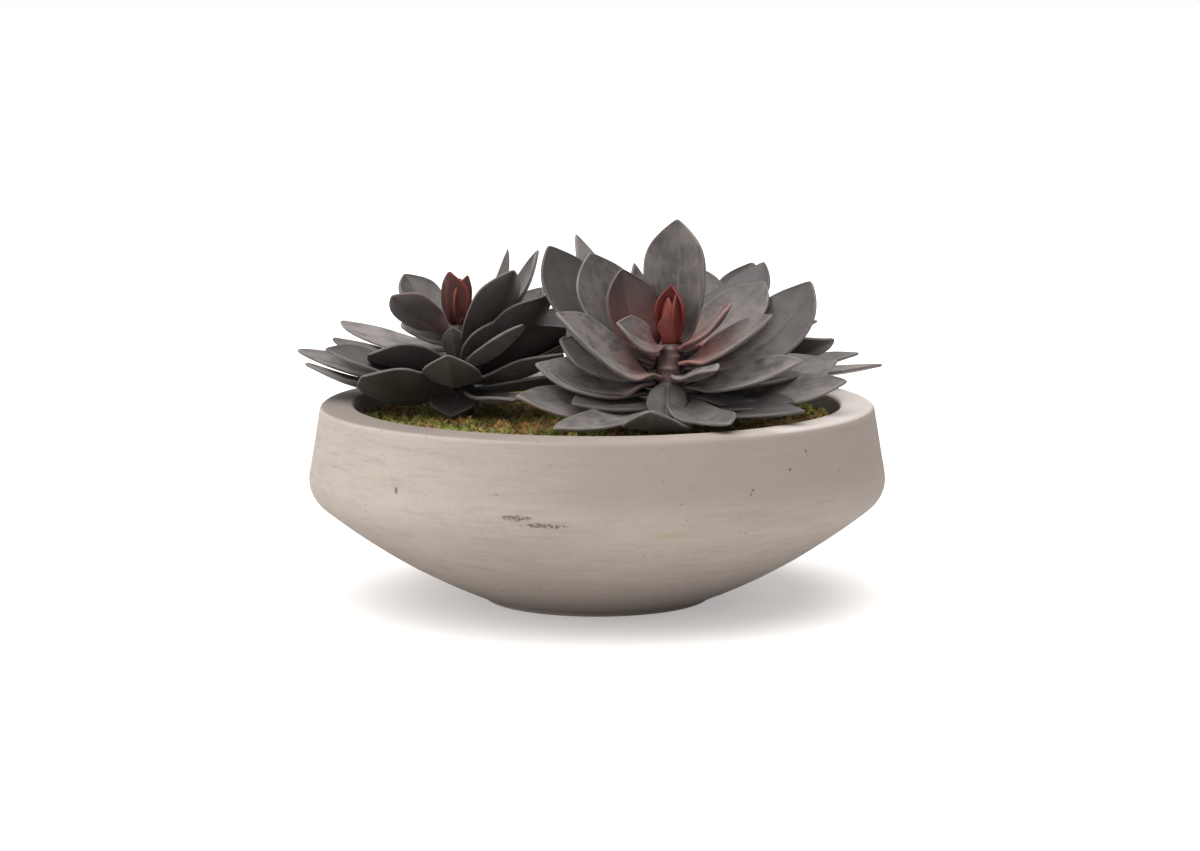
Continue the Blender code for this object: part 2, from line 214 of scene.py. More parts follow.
# Petals of the closed buds, from the outside in
PETALS = {
    "right": (
        (75, 93, 25, 43, 22, 0, 60, 0, 0, 40, 0, 60, 300, 20),
        (352, 90, 40, 37, 15, 0, 60, 0, 0, 40, 0, 60, 300, 20),
        (205, 95, 25, 34, 13, 10, 50, 0, 40, 50, 0, 100, 300, 60),
        (298, 93, 45, 25, 18, 0, 50, 0, 10, 70, 0, 55, 300, 60),
        (130, 90, 10, 30, 9, 0, 50, 0, 0, 40, 0, 30, 300, 20),
    ),
    "left": (
        (70, 88, 30, 34, 18, 0, 50, 0, 14, 40, 0, 5, 300, 30),
        (330, 82, 45, 38, 22, 0, 50, 0, 26, 80, 0, 2, 200, 15),
        (232, 84, 50, 41, 27, 0, 50, 0, 8, 90, 0, 5, 200, 85),
    ),
}
PETAL_OFFSET = 1.2 * MM
NECK_CLEARANCE = 1.5 * MM

# A leaf's shape, as in the frame
WIDEST_AT = 0.56
NECK_SHARE = 0.32
TIP_SHARE = 0.045
TAPER_POWER = 1.35
CLASP_SHARE = 0.16
CLASP_RISE = math.radians(20.0)
ROLL_SHARE = 0.30
MIDRIB_STEPS = 48
CUP_POWER = 1.7

# Finer points of a leaf
ROWS = np.concatenate([np.linspace(0.0, 0.95, 39), [0.965, 0.978, 0.988, 0.994, 0.998, 1.0]])
HALF_ACROSS = np.array([0.06, 0.17, 0.33, 0.50, 0.66, 0.79, 0.89, 0.96, 1])
ACROSS = np.concatenate([-HALF_ACROSS[::-1], [0.0], HALF_ACROSS])
RIM_TURNS = np.radians(np.arange(22.5, 180.0, 22.5))
TIP_CLOSES_AT = 0.985
TIP_CLOSING = 0.0152
GROOVE_WIDTH = 1.9 * MM
GROOVE_DEPTH = 0.85 * MM
KEEL_WIDTH = 2.6 * MM
KEEL_HEIGHT = 0.80 * MM
BEAD_WIDTH = 1.6 * MM
RIM_BLUSH_WIDTH = 2.2 * MM

# Moss
SPRIG_SHAPES = 12
LEAFLETS = 7
BED_RINGS = 64
BED_SEGMENTS = 200
WALL_CLEARANCE = 1.5 * MM
BED_DEPTH = 6.5 * MM
CUSHIONS = 2.2 * MM
TUFTS = 0.9 * MM
WALL_DIP = 0.6 * MM
WALL_DIP_WIDTH = 0.016
SPRIG_ROOT = 0.8 * MM

# Stage
FLOOR_REACH = 60.0
FLOOR_DROP = 0.0002
LIGHT_COLOUR = (1.0, 0.99, 0.985)
KEY_TOWARDS = Vector((0.12, 0.12, -1.0))
SIDE_TOWARDS = Vector((1.0, 0.55, -0.35))
SIDE_SPREAD = math.radians(60.0)
BACKDROP_STRENGTH = 0.98
CAMERA_PLACE = Vector((0.0, -2.2, 0.427))
CAMERA_AIM = Vector((0.002, 0.0, 0.121))
SENSOR_WIDTH = 36.0

# Fixed tones
# The next two are painted: the leaves' shadow on the left of the rim's top and the light on its right
PAINTED_RIM_SHADOW = (0.155, 0.132, 0.114)
PAINTED_RIM_LIGHT = (0.52, 0.48, 0.45)
CONCRETE_STAIN = (0.33, 0.25, 0.15)
CONCRETE_WEAR = (0.115, 0.092, 0.078)
# Painted shade in the air holes, nicks and pit
PAINTED_HOLE_SHADE = (0.10, 0.08, 0.07)
PALER_SKIN = (0.066, 0.055, 0.053)
RED_POWDER = (0.42, 0.165, 0.125)
LEAF_SCRATCH = (0.030, 0.024, 0.023)
DARK_BARK = (0.055, 0.030, 0.027)
STEM_SCRATCH = (0.02, 0.014, 0.012)
OLD_GREEN = (0.175, 0.185, 0.035)
OLD_RUST = (0.21, 0.115, 0.04)
DARK_SOIL = (0.030, 0.021, 0.014)
DRY_SOIL = (0.085, 0.058, 0.038)
GRIT = (0.26, 0.23, 0.19)
FLOOR_GLOW = (1.0, 0.985, 0.975)

# Worn places of the concrete: centre, reach, grain and how ragged the edge is
WORN_PLACES = {
    "chip": ((-0.052, -0.190, 0.0875), (0.012, 0.02, 0.0026), 230.0, 1.8),
    "chip's tail": ((-0.034, -0.195, 0.0835), (0.018, 0.02, 0.0018), 260.0, 2.0),
    "nick": ((0.1000, -0.168, 0.0998), (0.0011, 0.008, 0.0017), 500.0, 0.8),
    "notch": ((0.1014, -0.168, 0.1022), (0.0009, 0.008, 0.0015), 500.0, 0.8),
    "pit": ((-0.1320, -0.150, 0.0985), (0.0012, 0.008, 0.0026), 700.0, 1.6),
    "stain": ((0.046, -0.19, 0.076), (0.016, 0.02, 0.0030), 220.0, 1.6),
    "run": ((-0.138, -0.144, 0.112), (0.0028, 0.01, 0.022), 120.0, 1.0),
}

Part = namedtuple("Part", "points faces values")


# ---------------- properties


def colour_setting(name, description, *default):
    return FloatVectorProperty(
        name=name, description=description, subtype="COLOR", size=3, min=0.0, max=1.0, default=default
    )


def length_setting(name, description, least, most, default):
    units = {"subtype": "DISTANCE", "unit": "LENGTH"}
    return FloatProperty(name=name, description=description, min=least, max=most, default=default, **units)


def strength_setting(name, description, most, default):
    return FloatProperty(name=name, description=description, min=0.0, max=most, default=default)


class EcheveriaBowlSettings(bpy.types.PropertyGroup):
    """The concrete bowl."""

    colour: colour_setting("Concrete", "Main tone of the concrete", 0.325, 0.278, 0.242)
    pale: colour_setting("Pale concrete", "Tone of the worn and limy parts", 0.410, 0.360, 0.320)
    dark: colour_setting("Damp concrete", "Tone of the darker clouds", 0.250, 0.211, 0.184)
    unevenness: length_setting("Unevenness", "How far the cast wall strays from true", 0.0, 0.003, 0.0005)


class EcheveriaLeafSettings(bpy.types.PropertyGroup):
    """The leaves of the three rosettes."""

    skin: colour_setting("Skin", "Dark tone of a leaf without powder", 0.030, 0.0240, 0.0230)
    powder: colour_setting("Powder", "Tone of the pale powder on a leaf", 0.178, 0.158, 0.147)
    blush: colour_setting("Blush", "Red tone at the necks and rims", 0.235, 0.062, 0.050)
    thickness: length_setting("Thickness", "Thickness of a leaf along its middle", 0.001, 0.005, 0.003)
    rim_thickness: length_setting("Rim thickness", "Thickness at a leaf's rounded rim", 0.0005, 0.003, 0.0019)
    waviness: length_setting("Waviness", "How far a leaf's rim waves up and down", 0.0, 0.003, 0.0007)


class EcheveriaBudSettings(bpy.types.PropertyGroup):
    """The closed buds."""

    petal: colour_setting("Petal", "Red of the petals", 0.185, 0.019, 0.013)
    shade: colour_setting("Petal shade", "Dark tone in the petals", 0.034, 0.011, 0.010)
    pale: colour_setting("Pale petal", "Powdery pink of the outer petals", 0.36, 0.105, 0.075)


class EcheveriaStemSettings(bpy.types.PropertyGroup):
    """The stems."""

    bark: colour_setting("Stem", "Reddish brown of the stems", 0.100, 0.056, 0.049)
    scar: colour_setting("Leaf scars", "Paler tone of old leaf scars", 0.23, 0.150, 0.130)


class EcheveriaMossSettings(bpy.types.PropertyGroup):
    """The moss that covers the soil."""

    sprigs: IntProperty(name="Sprigs", description="How many there are", min=1000, max=16000, default=15000)
    sprig_length: length_setting("Sprig length", "Length of a typical sprig", 0.002, 0.010, 0.0058)
    green: colour_setting("Green", "Fresh moss", 0.30, 0.34, 0.055)
    rust: colour_setting("Rust", "Dried moss", 0.42, 0.21, 0.06)
    deep: colour_setting("Deep", "The dark bottom of the moss", 0.050, 0.043, 0.028)


class EcheveriaStageSettings(bpy.types.PropertyGroup):
    """Floor, light and camera."""

    floor: colour_setting("Floor", "Tone of the floor", 0.70, 0.688, 0.68)
    room: strength_setting("Room light", "Strength of the even light from all round", 3.0, 0.58)
    key: strength_setting("Key light", "Strength of the large soft light overhead", 20.0, 3.9)
    side: strength_setting("Side light", "Strength of the weak soft light on the left", 20.0, 1.1)
    lift: strength_setting("Floor lift", "How much paler the floor looks to the camera", 1.0, 0.35)
    key_spread: FloatProperty(
        name="Key spread", description="How wide the key light looks from the object",
        subtype="ANGLE", unit="ROTATION", min=0.0, max=math.pi, default=math.radians(85.0),
    )
    lens: FloatProperty(
        name="Lens", description="Focal length on a 36 mm sensor",
        unit="CAMERA", min=20.0, max=300.0, default=94.8,
    )


SETTINGS = {
    "echeveria_bowl": EcheveriaBowlSettings,
    "echeveria_leaf": EcheveriaLeafSettings,
    "echeveria_bud": EcheveriaBudSettings,
    "echeveria_stem": EcheveriaStemSettings,
    "echeveria_moss": EcheveriaMossSettings,
    "echeveria_stage": EcheveriaStageSettings,
}


# ---------------- node trees


class Wire:
    """The output of a node. Sums, products and a | b, the larger of two, add the nodes that work them out."""

    def __init__(self, graph, socket):
        self.graph, self.socket = graph, socket

    def __add__(self, other):
        return self.graph.math("ADD", self, other)

    def __sub__(self, other):
        return self.graph.math("SUBTRACT", self, other)

    def __rsub__(self, other):
        return self.graph.math("SUBTRACT", other, self)

    def __mul__(self, other):
        return self.graph.math("MULTIPLY", self, other)

    def __or__(self, other):
        return self.graph.math("MAXIMUM", self, other)


class Graph:
    """Adds nodes to a tree and joins them, so that a material reads as its recipe."""

    def __init__(self, tree):
        self.tree = tree

    def feed(self, socket, value):
        if isinstance(value, Wire):
            self.tree.links.new(value.socket, socket)
        elif hasattr(value, "__len__") and len(value) == 3 and len(socket.default_value) == 4:
            socket.default_value = (*value, 1.0)
        else:
            socket.default_value = value

    def node(self, kind, feeds=(), **settings):
        made = self.tree.nodes.new(kind)
        for key, value in settings.items():
            setattr(made, key, value)
        for key, value in dict(feeds).items():
            self.feed(made.inputs[key], value)
        return made

    def wire(self, kind, output, feeds=(), **settings):
        return Wire(self, self.node(kind, feeds, **settings).outputs[output])

    def math(self, operation, *values):
        return self.wire("ShaderNodeMath", 0, enumerate(values), operation=operation)

    def vector(self, operation, *values, output="Vector"):
        return self.wire("ShaderNodeVectorMath", output, enumerate(values), operation=operation)

    def noise(self, place, scale, detail=4.0, roughness=0.55, distortion=0.0):
        feeds = dict(Vector=place, Scale=scale, Detail=detail, Roughness=roughness, Distortion=distortion)
        return self.wire("ShaderNodeTexNoise", "Fac", feeds)

    def cells(self, place, scale, output="Distance"):
        return self.wire("ShaderNodeTexVoronoi", output, dict(Vector=place, Scale=scale))

    def spread(self, value, low, high, to_low=0.0, to_high=1.0):
        """Value between low and high, eased into the range from to_low to to_high."""
        feeds = {"Value": value, "From Min": low, "From Max": high, "To Min": to_low, "To Max": to_high}
        return self.wire("ShaderNodeMapRange", 0, feeds, interpolation_type="SMOOTHSTEP")

    def coat(self, tone, *coats):
        """The tone under these coats, each a share and a colour."""
        for share, colour in coats:
            tone = self.wire("ShaderNodeMix", 2, {0: share, 6: tone, 7: colour}, data_type="RGBA")
        return tone

    def attribute(self, name, output="Fac"):
        return self.wire("ShaderNodeAttribute", output, attribute_name=name)

    def place(self):
        return self.wire("ShaderNodeTexCoord", "Object")


class Look(Graph):
    """A Principled material and its recipe. Constants go straight on the shader."""

    def __init__(self, name, **constants):
        self.material = bpy.data.materials.new(name)
        self.material.use_nodes = True
        super().__init__(self.material.node_tree)
        self.shader = self.tree.nodes["Principled BSDF"].inputs
        for key, value in constants.items():
            self.feed(self.shader[key.replace("_", " ")], value)

    def finish(self, tone, roughness, relief, depth, strength):
        bump = self.wire("ShaderNodeBump", 0, {"Height": relief, "Distance": depth, "Strength": strength})
        for key, value in (("Base Color", tone), ("Roughness", roughness), ("Normal", bump)):
            self.feed(self.shader[key], value)
        return self.material


def effect(name, output, *inputs):
    """Makes a recipe a shared node group, built the first time that a material places it."""

    def build(recipe):
        tree = bpy.data.node_groups.new(name, "ShaderNodeTree")
        for label in inputs:
            kind = "NodeSocketVector" if label in VECTOR_SOCKETS else "NodeSocketFloat"
            tree.interface.new_socket(name=label, in_out="INPUT", socket_type=kind)
        tree.interface.new_socket(name=output, in_out="OUTPUT", socket_type="NodeSocketFloat")
        graph = Graph(tree)
        given, out = graph.node("NodeGroupInput").outputs, graph.node("NodeGroupOutput").inputs
        graph.feed(out[output], recipe(graph, *(Wire(graph, given[label]) for label in inputs)))
        return tree

    def shared(recipe):
        def place_in(look, *values):
            if name not in built_effects:
                built_effects[name] = build(recipe)
            return look.wire("ShaderNodeGroup", 0, zip(inputs, values), node_tree=built_effects[name])

        return place_in

    return shared


VECTOR_SOCKETS = ("Place", "Centre", "Reach")
built_effects = {}


@effect("Cloudy tone", "Tone", "Place", "Scale")
def cloudy_tone(graph, place, scale):
    """Soft clouds at two sizes, from 0 to 1."""
    broad = graph.noise(place, scale, 3.0, 0.5, 0.4)
    small = graph.noise(place, scale * 5.3, 4.0, 0.6)
    return graph.spread(broad * 0.68 + small * 0.32, 0.30, 0.70)


@effect("Fine grain", "Height", "Place", "Scale")
def fine_grain(graph, place, scale):
    """Height of a fine, slightly pitted grain."""
    pits = graph.spread(graph.cells(place, scale * 0.6), 0.0, 0.35)
    return graph.noise(place, scale, 5.0, 0.68) + pits * 0.35


@effect("Pinholes", "Mask", "Place", "Scale", "Size", "Share")
def pinholes(graph, place, scale, size, share):
    """Scattered air holes: 1 in a hole, 0 around it. Only some cells hold one, and each has its own size."""
    cell = {"Color": graph.cells(place, scale, "Color")}
    chosen, own_size = (graph.wire("ShaderNodeSeparateColor", number, cell) for number in (0, 1))
    size = size * (own_size + 0.35)
    hole = 1.0 - graph.spread(graph.cells(place, scale), size * 0.5, size)
    return hole * graph.math("LESS_THAN", chosen, share)


@effect("Ragged spot", "Mask", "Place", "Centre", "Reach", "Grain", "Ragged")
def ragged_spot(graph, place, centre, reach, grain, ragged):
    """A ragged spot at one place on a surface: 1 inside, 0 outside."""
    offset = graph.vector("DIVIDE", graph.vector("SUBTRACT", place, centre), reach)
    distance = graph.vector("LENGTH", offset, output="Value")
    edge = distance + (graph.noise(place, grain, 4.0, 0.65) - 0.5) * ragged
    return 1.0 - graph.spread(edge, 0.55, 1.0)


@effect("Powder bloom", "Mask", "Place", "Along", "Across", "Inset", "Face", "Amount")
def powder_bloom(graph, place, along, across, inset, face, amount):
    """How much pale powder lies on a leaf or petal, worn off in streaks along it. It thins on the lower face
    and towards the neck as painted shade, a painted highlight runs along the midrib, and the paler rim is
    partly thicker powder and partly a painted highlight.
    """
    streaks = graph.noise(graph.vector("MULTIPLY", place, (0.22, 1.0, 1.0)), 330.0, 3.0, 0.6)
    clouds = graph.noise(place, 62.0, 3.0, 0.55, 0.3)
    specks = graph.noise(place, 900.0, 2.0, 0.6)
    patchy = graph.spread(clouds * 0.52 + streaks * 0.26 + specks * 0.22, 0.38, 0.62, 0.36, 1.44)
    # Less powder on the lower face: painted shade on the underside
    body = patchy * graph.spread(face, 0.2, 0.9, 0.42, 1.0) * amount
    # The powder thins towards the neck: painted shade near the stem
    body = body * graph.spread(along, 0.0, 0.42, 0.50, 1.0)
    # A pale streak along the midrib, strongest near the neck: a painted highlight
    midrib_highlight = 1.0 - graph.spread(graph.math("ABSOLUTE", across), 0.0, 0.09)
    midrib_highlight = midrib_highlight * graph.spread(along, 0.95, 0.3) * (streaks * 0.42)
    # Paler at the rim: partly thicker powder, partly a painted highlight on the rounded rim
    rim = 1.0 - graph.spread(inset, 0.0003, 0.0014)
    rim = rim * graph.spread(clouds, 0.3, 0.7, 0.14, 0.52) * graph.spread(amount, 0.0, 0.4, 0.35, 1.0)
    return graph.math("MINIMUM", body + (midrib_highlight + rim), 1.0)


@effect("Scratches", "Mask", "Place", "Scale", "Share")
def scratches(graph, place, scale, share):
    """Thin dark scratches and nicks, which run at all angles."""
    line = graph.math("ABSOLUTE", graph.noise(place, scale, 2.0, 0.5) - 0.5)
    where = graph.noise(place, scale * 0.9, 1.0, 0.5, 2.0)
    return (1.0 - graph.spread(line, 0.0, 0.006)) * graph.spread(where, 1.0 - share, 1.0)


def concrete_material(settings):
    """Cast concrete: warm grey clouds, faint level streaks, air holes, a few worn spots. Painted shade
    darkens the holes and the right of the upper wall, a painted leaf shadow lies on the left of the rim's
    top, and painted light brightens the right of the rim's top and pales the foot.
    """
    look = Look("cast_concrete", Specular_IOR_Level=0.25)
    place = look.place()
    sideways, height = (look.wire("ShaderNodeSeparateXYZ", axis, {"Vector": place}) for axis in "XZ")
    level = look.vector("MULTIPLY", place, (1.0, 1.0, 9.0))
    clouds = cloudy_tone(look, place, 9.0)
    streaks = cloudy_tone(look, level, 13.0)
    fine = look.noise(place, 420.0, 5.0, 0.75)
    blots = look.noise(level, 26.0, 5.0, 0.65)
    belly = look.spread(height, 0.058, 0.068) - look.spread(height, 0.070, 0.090)
    # The place from left to right, with a little wobble; it sets where the painted shade and painted light
    # below fall
    limy = sideways + (clouds - 0.5) * 0.06
    wall = look.spread(limy, -0.15, 0.01) * look.spread(height, 0.070, 0.105)
    top = look.spread(height, BOWL_TOP - 0.0022, BOWL_TOP - 0.0006)
    small = pinholes(look, place, 95.0, 0.13, 0.04)
    tiny = pinholes(look, place, 260.0, 0.20, 0.12)
    spots = {name: ragged_spot(look, place, *spot) for name, spot in WORN_PLACES.items()}
    chip = spots["chip"] | spots["chip's tail"]
    worn = chip * look.spread(fine, 0.44, 0.54)
    pits = (small | tiny * 0.5) | (spots["nick"] | spots["notch"] | spots["pit"])
    tone = look.coat(
        settings.colour,
        (clouds * 0.75, settings.pale),
        (look.spread(streaks, 0.75, 0.05) * 0.20, settings.dark),
        (look.spread(fine, 0.36, 0.64, 0.0, 0.42), settings.pale),
        (look.spread(blots, 0.52, 0.66, 0.0, 0.34), settings.dark),
        (look.spread(blots, 0.48, 0.34, 0.0, 0.42), settings.pale),
        # Paler towards the foot: painted light that lifts the shade under the belly
        (look.spread(height, 0.050, 0.006) * 0.95, settings.pale),
        (belly * (clouds * 0.45), settings.pale),
        # Darker on the right of the upper wall: painted shade that stands in for the light coming from the
        # left
        (wall * 0.80, settings.dark),
        # Painted shadow of the leaves on the left of the rim's top, and painted light on its right
        (top * look.spread(limy, 0.08, -0.14) * 0.85, PAINTED_RIM_SHADOW),
        (top * look.spread(limy, 0.08, 0.16) * 0.75, PAINTED_RIM_LIGHT),
        (spots["run"] * 0.22, settings.pale),
        (spots["stain"] * 0.35, CONCRETE_STAIN),
        (chip * 0.20, settings.pale),
        (worn * 0.85, CONCRETE_WEAR),
        # Dark air holes, nicks and pit: painted shade in the hollows
        (pits * 0.8, PAINTED_HOLE_SHADE),
    )
    grain = fine_grain(look, place, 420.0)
    relief = grain * 0.22 - (pits | worn * 0.7) + streaks * 0.12
    return look.finish(tone, look.spread(clouds, 0.0, 1.0, 0.92, 0.78), relief, 0.0007, 0.8)


def powder_on(look):
    """The place on a leaf or petal, its face, its redness and the powder on it."""
    place = look.attribute("leaf_place", "Vector")
    names = ("along", "across", "inset", "face", "powder", "blush")
    along, across, inset, face, amount, red = (look.attribute(name) for name in names)
    return place, face, red, powder_bloom(look, place, along, across, inset, face, amount)


def leaf_material(settings):
    """Fleshy dark leaf with a worn coat of pale powder, redder at its neck, paler along its rounded rim."""
    sheen = dict(Sheen_Weight=0.12, Sheen_Roughness=0.45, Sheen_Tint=(0.9, 0.88, 0.88))
    look = Look("powdered_leaf", Specular_IOR_Level=0.42, **sheen)
    place, face, red, powder = powder_on(look)
    clouds = cloudy_tone(look, place, 30.0)
    red = red * look.spread(clouds, 0.0, 0.9, 0.55, 1.0)
    skin = look.coat(settings.skin, (clouds * 0.35, PALER_SKIN), (red * 0.75, settings.blush))
    powdery = look.coat(settings.powder, (red * 0.80, RED_POWDER))
    marks = scratches(look, place, 42.0, 0.42) * look.spread(face, 0.5, 1.0)
    tone = look.coat(skin, (powder, powdery), (marks * 0.55, LEAF_SCRATCH))
    veins = look.noise(look.vector("MULTIPLY", place, (0.12, 1.0, 1.0)), 260.0, 3.0, 0.55)
    grain = fine_grain(look, place, 900.0)
    relief = veins * 0.55 + grain * 0.16 - marks * 0.4
    return look.finish(tone, look.spread(powder, 0.0, 0.8, 0.46, 0.68), relief, 0.0006, 0.55)


def bud_material(settings):
    """Petals of a closed bud: red, darker in streaks, with a little powder on the outer ones."""
    flesh = dict(Subsurface_Weight=0.06, Subsurface_Radius=(0.004, 0.001, 0.001))
    look = Look("bud_petal", Specular_IOR_Level=0.25, **flesh)
    place, _, red, powder = powder_on(look)
    streaks = look.noise(look.vector("MULTIPLY", place, (0.18, 1.0, 1.0)), 420.0, 3.0, 0.6)
    red = red * look.spread(streaks, 0.3, 0.62, 0.35, 1.0)
    tone = look.coat(settings.shade, (red, settings.petal), (powder, settings.pale))
    relief = streaks * 0.6 + fine_grain(look, place, 900.0) * 0.15
    return look.finish(tone, look.spread(streaks, 0.2, 0.8, 0.36, 0.56), relief, 0.0005, 0.5)


def stem_material(settings):
    """Woody stem, reddish brown, with paler leaf scars and a faint shine."""
    look = Look("scarred_stem", Specular_IOR_Level=0.5)
    place = look.place()
    clouds = cloudy_tone(look, place, 70.0)
    marks = scratches(look, place, 120.0, 0.5)
    scars = look.attribute("scar")
    tone = look.coat(
        settings.bark, (clouds, DARK_BARK), (scars * 0.7, settings.scar), (marks * 0.6, STEM_SCRATCH)
    )
    grain = fine_grain(look, place, 520.0)
    return look.finish(tone, look.spread(clouds, 0.0, 1.0, 0.40, 0.66), grain, 0.0006, 0.6)


def moss_material(settings):
    """Feathery moss: green and dried sprigs, darker towards their feet."""
    look = Look("feather_moss", Specular_IOR_Level=0.2, Sheen_Weight=0.15)
    place, tint = look.place(), look.attribute("tint")
    fresh = look.coat(settings.green, (look.noise(place, 260.0, 2.0), OLD_GREEN))
    dried = look.coat(settings.rust, (look.noise(place, 300.0, 2.0), OLD_RUST))
    sprig = look.coat(fresh, (look.spread(tint, 0.42, 0.62), dried))
    tone = look.coat(settings.deep, (look.spread(look.attribute("depth"), 0.0, 0.75), sprig))
    grain = fine_grain(look, place, 800.0)
    return look.finish(tone, look.spread(tint, 0.0, 1.0, 0.70, 0.90), grain, 0.0005, 0.5)


def soil_material():
    """Dark crumbly potting soil with small pale grit."""
    look = Look("dark_potting_soil", Specular_IOR_Level=0.3)
    place = look.place()
    clouds = cloudy_tone(look, place, 60.0)
    grit = pinholes(look, place, 180.0, 0.3, 0.12)
    tone = look.coat(DARK_SOIL, (clouds, DRY_SOIL), (grit * 0.7, GRIT))
    grain = fine_grain(look, place, 240.0)
    return look.finish(tone, look.spread(clouds, 0.0, 1.0, 0.98, 0.85), grain, 0.002, 1.0)


def floor_material(settings):
    """Plain pale floor with the faintest unevenness of tone."""
    look = Look("pale_floor", Specular_IOR_Level=0.15, Emission_Color=FLOOR_GLOW)
    clouds = cloudy_tone(look, look.place(), 0.8)
    paler = tuple(min(1.0, part * 1.015) for part in settings.floor)
    look.feed(look.shader["Base Color"], look.coat(settings.floor, (clouds, paler)))
    look.feed(look.shader["Roughness"], look.spread(clouds, 0.0, 1.0, 0.86, 0.94))
    seen = look.wire("ShaderNodeLightPath", "Is Camera Ray")
    look.feed(look.shader["Emission Strength"], seen * settings.lift)
    return look.material


# ---------------- meshes


def smooth(share):
    """Eases from 0 to 1."""
    share = np.clip(share, 0.0, 1.0)
    return share * share * (3.0 - 2.0 * share)


def bell(distance, width):
    return np.exp(-((distance / width) ** 2))


def cloud(x, y, scale, z):
    """Smooth noise, of this many clouds to the metre."""
    return noise.noise(Vector((x * scale, y * scale, z)))


def on_circle(radius, turn):
    return radius * math.cos(turn), radius * math.sin(turn)


def turns_round(count):
    """This many angles round a circle."""
    return [FULL_TURN * step / count for step in range(count)]


def facing_out(points, faces):
    """The same faces, turned over if they look inwards."""
    corners = np.array([face if len(face) == 4 else (*face, face[0]) for face in faces])
    a, b, c, d = (points[corners[:, i]] - points.mean(0) for i in range(4))
    inside = (a * np.cross(b, c)).sum() + (a * np.cross(c, d)).sum()
    return [face[::-1] for face in faces] if inside < 0.0 else faces


def tube(points, count, values):
    """A closed tube of rings with this many points each. The last two points close its ends."""
    first, last, end = len(points) - 2, len(points) - 1, len(points) - 2 - count
    faces = []
    for low in range(0, end, count):
        for point in range(count):
            beside = (point + 1) % count
            faces.append((low + point, low + beside, low + count + beside, low + count + point))
    for point in range(count):
        beside = (point + 1) % count
        faces += [(first, beside, point), (last, end + point, end + beside)]
    points = np.array(points)
    return Part(points, facing_out(points, faces), values)


def join_parts(parts):
    """One part made of several, with their values side by side."""
    faces, start = [], 0
    for part in parts:
        faces.extend(tuple(index + start for index in face) for face in part.faces)
        start += len(part.points)
    values = {key: np.concatenate([part.values[key] for part in parts]) for key in parts[0].values}
    return Part(np.concatenate([part.points for part in parts]), faces, values)


def make_piece(name, part, look, replaced=()):
    """Turns a part into an object that rides on the body and stands for its nodes."""
    mesh = bpy.data.meshes.new(name)
    mesh.from_pydata(part.points.tolist(), [], part.faces)
    for key, value in part.values.items():
        kind, item = ("FLOAT_VECTOR", "vector") if value.ndim == 2 else ("FLOAT", "value")
        layer = mesh.attributes.new(key, kind, "POINT")
        layer.data.foreach_set(item, value.astype(np.float32).ravel())
    mesh.materials.append(look)
    mesh.shade_smooth()
    if mesh.validate():
        raise RuntimeError(f"{name} has faulty faces")
    made = bpy.data.objects.new(name, mesh)
    bpy.context.scene.collection.objects.link(made)
    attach(made, "root")
    if replaced:
        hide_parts(*replaced)
    return made


# ---------------- bowl


def arc(centre, radius, start, end, steps):
    turns = np.linspace(start, end, steps + 1)
    return [(centre[0] + radius * math.cos(a), centre[1] + radius * math.sin(a)) for a in turns]


def straight(start, end, steps):
    """Points between two others, without the first."""
    start, end = np.array(start), np.array(end)
    return [tuple(start + (end - start) * i / steps) for i in range(1, steps + 1)]


def bowl_section():
    """The bowl's whole section: from the middle of its floor over the rim to the edge of its foot."""
    inner_rim = (MOUTH_RADIUS + RIM_INNER_ROUND, BOWL_TOP - RIM_INNER_ROUND)
    inner_edge = arc(inner_rim, RIM_INNER_ROUND, math.pi, 0.5 * math.pi, 5)
    belly = arc((BOWL_RADIUS - BELLY_ROUND, BELLY_HEIGHT), BELLY_ROUND, WALL_LEAN, -BELLY_TURN, 16)
    wall_top = belly[0][0] - (BOWL_TOP - belly[0][1]) * math.tan(WALL_LEAN)
    outer_rim = (wall_top - RIM_OUTER_ROUND, BOWL_TOP - RIM_OUTER_ROUND)
    outer_edge = arc(outer_rim, RIM_OUTER_ROUND, 0.5 * math.pi, WALL_LEAN, 7)
    # The underside is one arc that leaves the belly without a corner and meets the foot's edge
    x, z = belly[-1]
    half_turn = math.atan2(x - FOOT_RADIUS, z - FOOT_EDGE) - BELLY_TURN
    radius = 0.5 * math.hypot(x - FOOT_RADIUS, z - FOOT_EDGE) / math.sin(half_turn)
    centre = (x - radius * math.cos(BELLY_TURN), z + radius * math.sin(BELLY_TURN))
    under = arc(centre, radius, -BELLY_TURN, -BELLY_TURN - 2.0 * half_turn, 44)
    section = [INNER_FLOOR] + straight(INNER_FLOOR, INNER_BELLY, 10)
    section += straight(INNER_BELLY, inner_edge[0], 12) + inner_edge[1:]
    section += straight(inner_edge[-1], outer_edge[0], 8) + outer_edge[1:]
    section += straight(outer_edge[-1], belly[0], 22) + belly[1:] + under[1:]
    return np.array(section + list(FOOT_WEAR))


